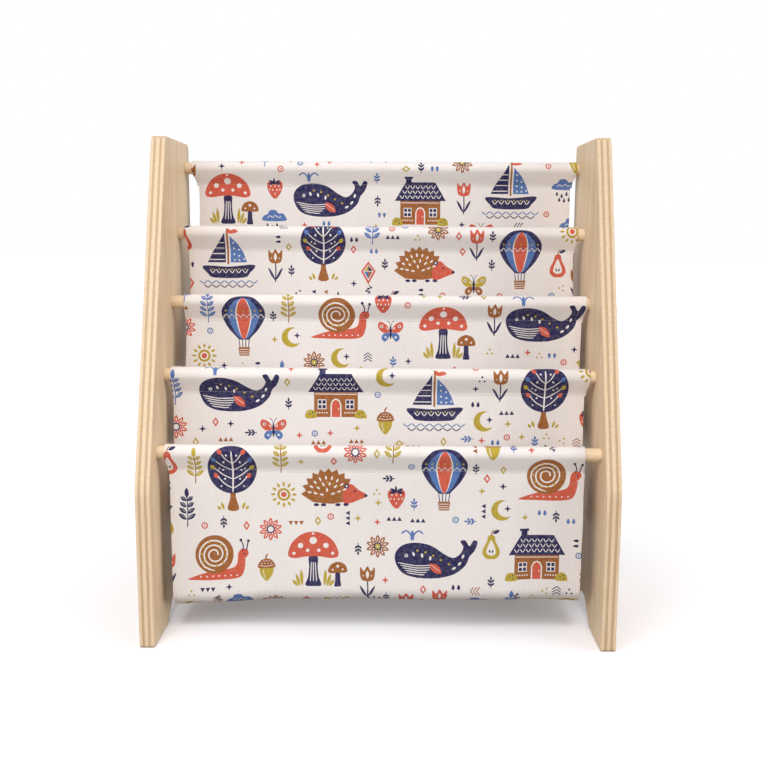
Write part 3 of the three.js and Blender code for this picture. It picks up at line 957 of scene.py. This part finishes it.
def pocket_point(number, x, along):
    """A point of a pocket, from its front seam down, round the turn and up to its rear seam."""
    front_rod, rear_rod = RODS[number + 1], RODS[number]
    front_run, turn_run, rear_run = pocket_runs(number)
    across = x / CLOTH_WIDTH + 0.5
    bottom = front_rod.z - POCKET_DROPS[number] + FOLD_TILTS[number] * (1 - 2 * across)
    bottom += BOTTOM_WANDER * noise.noise(Vector((x / (45 * MM), 2.7 * number, 0)))
    if number == FRONT_POCKET:
        bottom -= CORNER_SAG * (1 - rise(x, *SAG_ENDS))
    foot = bottom + TURN_RADIUS
    front_top, rear_top = front_rod.z - SEAM_DROP, rear_rod.z - SEAM_DROP
    front_y, rear_y = front_rod.y + LAYER, rear_rod.y - LAYER
    if along < front_run:
        turn = 0
        y = front_y
        if number == FRONT_POCKET:
            y -= 2 * LAYER * (1 - rise(along, 0, FRONT_EASE))
        z = front_top + along / front_run * (foot - front_top)
    elif along < front_run + turn_run:
        angle = (along - front_run) / TURN_RADIUS
        turn = rise(angle, 0, math.pi)
        y = front_y + TURN_RADIUS * (1 - math.cos(angle))
        z = foot - TURN_RADIUS * math.sin(angle)
    else:
        turn = 1
        share = (along - front_run - turn_run) / rear_run
        lean = 0.5 + math.sinh(math.asinh(4 * (share - 0.5)) / 3)  # leaves the turn and ends upright
        turn_end = front_y + 2 * TURN_RADIUS
        y = turn_end + (rear_y - turn_end) * rise(lean, 0, 1)
        z = foot + share * (rear_top - foot)
    y += (1 - turn) * push(number + 1, x, front_top - z) + turn * push(number, x, rear_top - z)
    drift = along / (front_run + turn_run + rear_run)
    slip = SLIPS[number + 1] + drift * (SLIPS[number] - SLIPS[number + 1])
    return Vector((x + slip + edge_shift(x, along, 4.3 * number), y, z))


# %% [markdown]
# The layout of the print. Each wall of the sling that can be seen is a strip of cloth that begins on
# top of a rod, so a motif may run over a sleeve and on down the wall below it, as on cloth that was
# printed before it was sewn. Motifs are dropped on the strip in turn, the large ones first, and one
# that would touch another is thrown again. The random numbers are seeded, so the cloth always comes
# out the same.

# %% Layout of the print
LARGE_SIZE, MEDIUM_SIZE, SMALL_SIZE = 1.24, 1.08, 1.12
LARGE_GAP, MEDIUM_GAP, SMALL_GAP = 6, 4.6, 4.2  # mm kept free round a motif
LARGE_TRIES, MEDIUM_TRIES, SMALL_TRIES = 6, 40, 30
MEDIUM_PATCH, SMALL_PATCH = 1900, 1150  # square mm of cloth for each motif
COLUMNS = 4
ROW_PITCH = 92
STRAY = (14, 12)  # mm, across and along, that a large motif may stray from its place in the rows
OVERHANG = 6  # mm that a motif's middle may lie past the edge of the cloth


def size_of(shapes):
    xs = [x for _, points in shapes for x, _ in points]
    ys = [y for _, points in shapes for _, y in points]
    return min(xs), min(ys), max(xs), max(ys)


def clearance(box, taken):
    left, low, right, high = box
    gaps = (max(other[0] - right, left - other[2], other[1] - high, low - other[3]) for other in taken)
    return min(gaps, default=99)


def drop_motif(draw, shapes, region, taken, placed, gap, tries):
    """Puts the motif where it stands freest, of this many places drawn in the region."""
    left, low, right, high = region
    left_reach, low_reach, right_reach, high_reach = size_of(shapes)
    places = [(draw.uniform(left, right), draw.uniform(low, high)) for _ in range(tries)]
    boxes = [(x + left_reach, y + low_reach, x + right_reach, y + high_reach) for x, y in places]
    room, x, y, box = max((clearance(box, taken), x, y, box) for (x, y), box in zip(places, boxes))
    if room > gap:
        taken.append(box)
        placed.append(moved(shapes, x, y))


def lay_out(seed, wide, above, below, start):
    """Motifs over a strip of this width in mm, from above the top of the rod, at y = 0, to below it."""
    draw = random.Random(seed)
    taken, placed = [], []
    half = wide / 2
    for row in range(max(1, round(below / ROW_PITCH))):
        lean = draw.uniform(-0.2, 0.2)
        for column in range(COLUMNS):
            motif = moved(LARGE[(start + 3 * row + column) % len(LARGE)](), 0, 0, LARGE_SIZE)
            x = -half + wide / COLUMNS * (column + 0.5 + lean)
            y = -ROW_PITCH * (row + 0.5)
            region = (x - STRAY[0], y - STRAY[1], x + STRAY[0], y + STRAY[1])
            drop_motif(draw, motif, region, taken, placed, LARGE_GAP, LARGE_TRIES)
    everywhere = (-half - OVERHANG, -below, half + OVERHANG, above)
    area = wide * (above + below)
    for index in range(round(area / MEDIUM_PATCH)):
        medium = moved(MEDIUM[(start + index) % len(MEDIUM)], 0, 0, MEDIUM_SIZE)
        drop_motif(draw, medium, everywhere, taken, placed, MEDIUM_GAP, MEDIUM_TRIES)
    for index in range(round(area / SMALL_PATCH)):
        turn = draw.choice((0, 0, 0, 90, 180))
        small = moved(SMALL[(start + index) % len(SMALL)], 0, 0, SMALL_SIZE, turn)
        drop_motif(draw, small, everywhere, taken, placed, SMALL_GAP, SMALL_TRIES)
    return placed


SLEEVE_MM = HALF_LOOP / MM
STRIP_WIDTH = 512
SHOWN_SEED, HIDDEN_SEED = 31, 71


def shown_strip(number):
    """The print from a rod's rear seam over the rod and down the wall that shows under it."""
    front_run, turn_run, rear_run = (run / MM for run in pocket_runs(min(number, FRONT_POCKET)))
    wall = rear_run if number <= FRONT_POCKET else front_run
    return lay_out(SHOWN_SEED + number, STRIP_WIDTH, SLEEVE_MM, SLEEVE_MM + wall + turn_run / 2, 3 * number)


def hidden_strip(number):
    """The print of a pocket's front wall that stands behind another wall."""
    front_run, turn_run, _ = (run / MM for run in pocket_runs(number))
    return lay_out(HIDDEN_SEED + number, STRIP_WIDTH, 0, front_run + turn_run / 2, 5 * number + 2)


strips = [shown_strip(number) for number in range(len(RODS))]
hidden_walls = [hidden_strip(number) for number in range(FRONT_POCKET)]
print("motifs on the walls that show", [len(strip) for strip in strips])


# %% [markdown]
# Cutting the print into the cloth. A flat mesh of the cloth's cut is triangulated with the outline of
# every printed shape as an edge, by a constrained Delaunay triangulation, and each triangle gets the
# ink of the topmost shape over it. The same call takes rows of points along the cloth, close together
# where it bends, so that the mesh can take its curves. bmesh has no operator that does this, and an
# image would blur the edges of the ink, so this is the one mesh that isn't made by operators.

# %% Cut the flat cloth
CUT_TOLERANCE = 1e-4
SLIVER = 0.04 * MM  # triangles as thin as this would spoil the shading, so they are merged away
FOLD = 0.6  # mm across the fold of a hem, where the cloth's thickness changes


def spaced(start, end, pitch):
    count = max(1, round(abs(end - start) / pitch))
    return [start + (end - start) * step / count for step in range(count + 1)]


def row_of(left, right, pitch):
    """Places across the cloth: its ends, both sides of each hem's fold, and steps between."""
    hem = HEM / MM
    return [left, left + hem - FOLD, *spaced(left + hem, right - hem, pitch), right - hem + FOLD, right]


def anticlockwise(outline):
    area = sum(ax * by - bx * ay for (ax, ay), (bx, by) in zip(outline, outline[1:] + outline[:1]))
    return outline if area > 0 else outline[::-1]


def cut_flat(rows, ends, shapes):
    """rows: (y, pitch) from one end of the cloth to the other, in mm, and ends(y) gives where a row
    begins and ends. Returns the flat points, and each triangle with its ink."""
    points, edges, lines = [], [], []
    for y, pitch in rows:
        first = len(points)
        points += [Vector((x, y)) for x in row_of(*ends(y), pitch)]
        line = list(range(first, len(points)))
        edges += list(zip(line, line[1:]))
        lines.append(line)
    for before, after in zip(lines, lines[1:]):
        edges += [(before[column], after[column]) for column in (1, 2, -3, -2)]
    right_side, left_side = [line[-1] for line in lines[1:-1]], [line[0] for line in lines[-2:0:-1]]
    faces = [lines[0] + right_side + lines[-1][::-1] + left_side]
    inks = [BARE]
    for ink, outline in shapes:
        first = len(points)
        points += [Vector(point) for point in anticlockwise(outline)]
        faces.append(list(range(first, len(points))))
        inks.append(ink)
    flat, _, triangles, _, _, owners = delaunay_2d_cdt(points, edges, faces, 0, CUT_TOLERANCE, True)
    return flat, [(triangle, inks[max(owner)]) for triangle, owner in zip(triangles, owners) if 0 in owner]


# %% Raise the cut cloth into a piece
def make_cloth(name, rows, ends, shapes, place):
    flat, kept = cut_flat(rows, ends, shapes)
    cloth = bmesh.new()
    uv = cloth.loops.layers.uv.new("cloth")
    ink_layer = cloth.faces.layers.float.new("ink")
    thick = cloth.verts.layers.deform.new()
    points = {}
    for index in sorted({index for triangle, _ in kept for index in triangle}):
        x, y = flat[index]
        points[index] = cloth.verts.new(place(x * MM, y * MM))
        left, right = ends(y)
        inside = min(x - left, right - x)
        points[index][thick][0] = 1.0 if inside < HEM / MM - FOLD / 2 else CLOTH / HEM_CLOTH
    for triangle, ink in kept:
        face = cloth.faces.new([points[index] for index in triangle])
        face.smooth = True
        face[ink_layer] = (ink + 0.5) / len(INK_TONES)
        for loop, index in zip(face.loops, triangle):
            loop[uv].uv = flat[index] * MM
    bmesh.ops.dissolve_degenerate(cloth, dist=SLIVER, edges=cloth.edges[:])
    piece = make_object(name, cloth, canvas)
    piece.vertex_groups.new(name="hem")
    wall = piece.modifiers.new("thickness", "SOLIDIFY")
    wall.thickness = HEM_CLOTH
    wall.offset = 0
    wall.vertex_group = "hem"
    wall.use_even_offset = False
    piece.modifiers.new("shading", "WEIGHTED_NORMAL").mode = "FACE_AREA"
    print(name, len(kept), "triangles a side")
    return piece


# %% [markdown]
# The stitches. A lockstitch shows as a row of short humps of thread with a small gap between them,
# along each seam under a rod and down each hem. Each hump is a small ball that is stretched along the
# row and half sunk in the cloth. There are thousands, so each has only twenty faces.

# %% Stitches
STITCH_PITCH = 3.2
STITCH_REACH = 1.15  # half of a stitch's length
THREAD_RADIUS = 0.16 * MM
HEM_ROW = 9.6  # from the edge of the cloth to the stitches of its hem


def hump(thread_work, start, end):
    run = end - start
    size = Matrix.Diagonal((run.length / 2, THREAD_RADIUS, THREAD_RADIUS, 1))
    matrix = Matrix.Translation((start + end) / 2) @ run.to_track_quat("X", "Z").to_matrix().to_4x4() @ size
    bmesh.ops.create_icosphere(thread_work, subdivisions=1, radius=1, matrix=matrix)


def sew(thread_work, place, centres, run, half, sides):
    """Stitches at these points of the flat cloth, in mm, on one or both of its faces."""
    for x, y in centres:
        here = [place((x + step * run[0]) * MM, (y + step * run[1]) * MM) for step in (-1, 1)]
        up, down = place(x * MM, (y + 0.5) * MM), place(x * MM, (y - 0.5) * MM)
        out = (up - down).cross(Vector((1, 0, 0))).normalized() * half
        for side in sides:
            hump(thread_work, here[0] + side * out, here[1] + side * out)


def sew_hems(thread_work, place, ends, start, end, sides):
    for y in spaced(start, end, STITCH_PITCH):
        left, right = ends(y)
        centres = [(left + HEM_ROW, y), (right - HEM_ROW, y)]
        sew(thread_work, place, centres, (0, STITCH_REACH), HEM_CLOTH / 2, sides)


def hang(piece, node, thread_work, left, right, length, rods):
    """Finishes a cloth with its stitches, joins both to the body, and hides the CAD solid it stands for."""
    for face in thread_work.faces:
        face.smooth = True
    stitching = make_object(f"stitching_{node}", thread_work, thread)
    for sewn in (stitching, piece):
        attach(sewn, BODY)
    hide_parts(node)
    [dowels[f"rod_{rod}"] for rod in rods]


# %% Sleeves
STRAIGHT_PITCH, WRAP_PITCH, ACROSS_PITCH = 5, 2.2, 5.6  # mm between the corners of a sleeve's mesh
END_STITCHES = (2, 5.2, 8.4)  # mm from each end of a seam, where it goes through the thicker hem
HEM_START = 3  # mm from a seam to the first stitch of the hem


def shifted(strip, dy, flip=1):
    return [[(ink, [(x, dy + flip * y) for x, y in points]) for ink, points in motif] for motif in strip]


def reaching(strip, low, high):
    """The shapes of the motifs that reach into this stretch of the cloth."""
    kept = []
    for motif in strip:
        _, bottom, _, top = size_of(motif)
        if top > low and bottom < high:
            kept += motif
    return kept


def slid(shapes, slip_at):
    return [(ink, [(x - slip_at(y), y) for x, y in points]) for ink, points in shapes]


def sew_seam(work, place, y, left, right):
    """The stitches of a seam right across a sleeve, on its outer face."""
    inner = spaced(left + HEM_ROW + STITCH_PITCH, right - HEM_ROW - STITCH_PITCH, STITCH_PITCH)
    outer = [left + step for step in END_STITCHES] + [right - step for step in reversed(END_STITCHES)]
    for row, cloth in ((inner, CLOTH), (outer, HEM_CLOTH)):
        sew(work, place, [(x, y) for x in row], (STITCH_REACH, 0), cloth / 2, (-1,))


def make_sleeve(number):
    node = f"sleeve_{number + 1}"
    whole = 2 * SLEEVE_MM
    slip = SLIPS[number] / MM
    tail, straight = TAIL / MM, (TAIL + LOOP_TANGENT) / MM

    def ends(y):
        share = SEAM_STEP + (1 - SEAM_STEP) * rise(min(y, whole - y), tail, straight)
        pairs = zip(WALL_ENDS[number], SLEEVE_ENDS[number])
        return [wall + share * (top - wall) - slip for wall, top in pairs]

    def place(x, y):
        return sleeve_point(number, x, y)

    half = [0, RIM, tail, *spaced(tail, straight, STRAIGHT_PITCH)[1:-1]]
    heights = half + spaced(straight, whole - straight, WRAP_PITCH) + [whole - y for y in reversed(half)]
    shapes = slid(reaching(shifted(strips[number], SLEEVE_MM), 0, whole), lambda y: slip)
    piece = make_cloth(f"canvas_{node}", [(y, ACROSS_PITCH) for y in heights], ends, shapes, place)
    work = bmesh.new()
    for y in (tail, whole - tail):
        sew_seam(work, place, y, *ends(y))
    sew_hems(work, place, ends, tail + HEM_START, whole - tail - HEM_START, (-1,))
    hang(piece, node, work, *ends(SLEEVE_MM), whole, [number + 1])


for number in range(len(RODS)):
    make_sleeve(number)


# %% Pockets
SEAM_RUN = 26  # mm from a seam that have a finer mesh, for the puckers
SEAM_PITCH, WALL_PITCH, TURN_PITCH = 4, 9, 3.4  # mm between the rows of the mesh
FINE_PITCH, COARSE_PITCH = 4.4, 8  # mm between the corners in a row


def print_on(number, whole, middle):
    """The shapes printed on a pocket, those of its front wall and then those of its rear wall."""
    rear = shifted(strips[number], whole + SLEEVE_MM)
    if number == FRONT_POCKET:
        front = shifted(strips[number + 1], -SLEEVE_MM, -1)
    else:
        front = shifted(hidden_walls[number], 0, -1)
    return reaching(front, 0, middle) + reaching(rear, middle, whole)


def make_pocket(number):
    node = f"pocket_{number + 1}"
    front_run, turn_run, rear_run = (run / MM for run in pocket_runs(number))
    turn_end = front_run + turn_run
    whole = turn_end + rear_run

    def slip_at(y):
        return (SLIPS[number + 1] + y / whole * (SLIPS[number] - SLIPS[number + 1])) / MM

    def ends(y):
        share = rise(y, front_run, whole)
        pairs = zip(WALL_ENDS[number + 1], WALL_ENDS[number])
        return [low + share * (top - low) - slip_at(y) for low, top in pairs]

    def place(x, y):
        return pocket_point(number, x, y)

    heights = [0, *spaced(RIM, SEAM_RUN, SEAM_PITCH)[:-1], *spaced(SEAM_RUN, front_run, WALL_PITCH)[:-1],
               *spaced(front_run, turn_end, TURN_PITCH)[:-1],
               *spaced(turn_end, whole - SEAM_RUN, WALL_PITCH)[:-1],
               *spaced(whole - SEAM_RUN, whole - RIM, SEAM_PITCH), whole]
    rows = [(y, COARSE_PITCH if SEAM_RUN <= y < whole - SEAM_RUN else FINE_PITCH) for y in heights]
    shapes = slid(print_on(number, whole, front_run + turn_run / 2), slip_at)
    piece = make_cloth(f"canvas_{node}", rows, ends, shapes, place)
    work = bmesh.new()
    sew_hems(work, place, ends, STITCH_PITCH / 2, whole - STITCH_PITCH / 2, (-1, 1))
    hang(piece, node, work, *ends(0), whole, [number + 1, number + 2])


for number in range(len(RODS) - 1):
    make_pocket(number)


# %% [markdown]
# The studio: a plain pale floor and soft light. A camera ray sees the floor nearly white, with a
# little light of its own that grows away from the shelf, so that the shelf keeps its shadow and the
# floor has no horizon. Light that bounces off it sees it as grey, so that the front of the sling
# isn't lit more from below than the walls further up.

# %% Floor and world
FLOOR_SIZE = 30
FLOOR_SEEN = colour(252, 250, 254)
FLOOR_BOUNCE = colour(150, 148, 146)
FLOOR_LIFT = [(0.28, 0.11), (0.55, 0.32)]  # how far from the middle in metres, and how much light
WORLD_LIGHT = 0.32


def seen_directly(tree):
    rays = add_node(tree, "LightPath")
    glossy = figure(tree, "MAXIMUM", rays.outputs["Is Camera Ray"], rays.outputs["Is Glossy Ray"])
    return figure(tree, "MAXIMUM", glossy, rays.outputs["Is Transmission Ray"])


def make_floor():
    material, tree, shader = start_material("studio_floor", 0.9, Specular_IOR_Level=0.0)
    seen = seen_directly(tree)
    paint(tree, shader, blend(tree, seen, FLOOR_BOUNCE, FLOOR_SEEN))
    reach = add_node(tree, "VectorMath", {0: own_place(tree)}, operation="LENGTH").outputs["Value"]
    lift = ramp(tree, reach, [(distance, (light, light, light, 1)) for distance, light in FLOOR_LIFT])
    glow = add_node(tree, "Emission", {"Strength": figure(tree, "MULTIPLY", seen, lift)})
    both = add_node(tree, "AddShader", {0: shader.outputs[0], 1: glow.outputs[0]})
    tree.links.new(both.outputs[0], tree.nodes["Material Output"].inputs["Surface"])
    ground = bmesh.new()
    bmesh.ops.create_grid(ground, x_segments=1, y_segments=1, size=FLOOR_SIZE / 2)
    make_object("studio_floor", ground, material)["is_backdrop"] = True


def make_world():
    world = bpy.data.worlds.new("studio")
    bpy.context.scene.world = world
    world.use_nodes = True
    tree = world.node_tree
    light = tree.nodes["Background"]
    light.inputs["Color"].default_value = WHITE
    light.inputs["Strength"].default_value = WORLD_LIGHT
    white = add_node(tree, "Background", {"Color": WHITE, "Strength": 1.0})
    mixed = add_node(tree, "MixShader", {0: seen_directly(tree), 1: light.outputs[0], 2: white.outputs[0]})
    tree.links.new(mixed.outputs[0], tree.nodes["World Output"].inputs["Surface"])


make_floor()
make_world()


# %% [markdown]
# Four lamps are as far off as the sun, so that they light the whole floor alike, but as wide as a
# softbox. The front lamp's shadow lies under the shelf. The window at the front left is near enough
# for its light to fade towards the right and downwards, as it does in the photograph.

# %% Lamps
def hang_lamp(name, data, place, direction):
    lamp = bpy.data.objects.new(name, data)
    lamp.location = place
    lamp.rotation_euler = Vector(direction).to_track_quat("-Z", "Y").to_euler()
    bpy.context.scene.collection.objects.link(lamp)


def add_far_lamp(name, direction, spread, strength):
    data = bpy.data.lights.new(name, "SUN")
    data.angle = math.radians(spread)
    data.energy = strength
    hang_lamp(name, data, (0, 0, 1), direction)


def add_window(name, place, aim, size, power):
    data = bpy.data.lights.new(name, "AREA")
    data.size = size
    data.energy = power
    hang_lamp(name, data, place, Vector(aim) - Vector(place))


add_far_lamp("front_lamp", (0.05, 1.0, -1.5), 18, 0.98)
add_far_lamp("right_lamp", (-1.0, 0.45, -0.3), 45, 1.32)
add_far_lamp("left_lamp", (0.8, 0.7, -0.3), 40, 0.85)
add_far_lamp("ceiling", (0, 0.15, -1.0), 70, 0.12)
add_window("window", (-0.5, -1.15, 0.95), (0, 0, 0.4), 0.7, 5.2)
bpy.context.scene.view_settings.view_transform = "Standard"


# %% The sizes of the CAD model and of the scene
boxes = {"cad": cad_bounds, "visual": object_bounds()}
{name: [list(corner) for corner in box] for name, box in boxes.items()}
